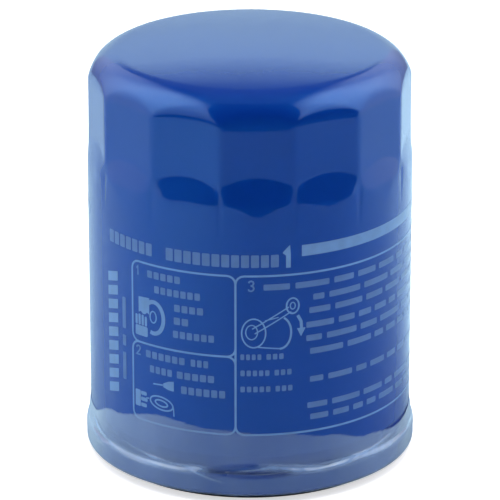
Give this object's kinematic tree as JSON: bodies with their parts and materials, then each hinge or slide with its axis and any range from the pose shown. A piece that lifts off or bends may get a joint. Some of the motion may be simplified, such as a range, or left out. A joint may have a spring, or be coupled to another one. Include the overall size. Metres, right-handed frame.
{
  "type": "oil filter",
  "caption": "Spin-on engine oil filter: domed steel can with wrench flats and a rolled seam, threaded base, sealing ring, pleated element and relief valve, in clear film.",
  "frame": {"origin": "centre of the gasket's sealing face, the face the filter stands on", "axes": "+Z along the filter's axis from the threaded base to the dome; -Y towards the middle of one wrench flat and the side the main view looks at"},
  "size_m": [0.0668, 0.0668, 0.0854],
  "materials": {
    "can_paint": "gloss blue paint",
    "plated_sheet": "tin-plated sheet",
    "plate_steel": "pressed steel, oiled",
    "spring_steel": "drawn wire",
    "gasket_rubber": "moulded, oiled",
    "valve_rubber": "moulded nitrile",
    "compound": "matte",
    "potting": "cured plastisol",
    "paper": "resin-treated paper",
    "clear_film": "clear gloss film"
  },
  "bodies": {
    "housing": {"can": "can_paint", "seaming_lid": "plated_sheet", "seam_compound": "compound", "gasket": "gasket_rubber", "base_plate": "plate_steel", "drain_valve_hub": "valve_rubber", "lower_end_cap": "plated_sheet", "upper_end_cap": "plated_sheet", "lower_potting": "potting", "upper_potting": "potting", "filter_media": "paper", "media_clip": "plated_sheet", "center_tube": "plated_sheet", "bypass_cage": "plated_sheet", "bypass_spring": "spring_steel", "element_spring": "spring_steel", "shrink_film": "clear_film"},
    "bypass_valve": {"bypass_poppet": "plate_steel", "bypass_seal": "gasket_rubber"},
    "drain_lip": {"drain_valve_lip": "valve_rubber"}
  },
  "joints": [
    {"name": "bypass_slide", "type": "slide", "parent": "housing", "child": "bypass_valve", "axis": [0, 0, -1], "range_m": [0, 0.0025], "stiffness_N_per_m": 1650, "springref_m": -0.008, "deforming": ["bypass_spring"]},
    {"name": "drain_lip_lift", "type": "slide", "parent": "housing", "child": "drain_lip", "axis": [0, 0, 1], "range_m": [0, 0.0012], "stiffness_N_per_m": 1500, "springref_m": -0.0003}
  ]
}
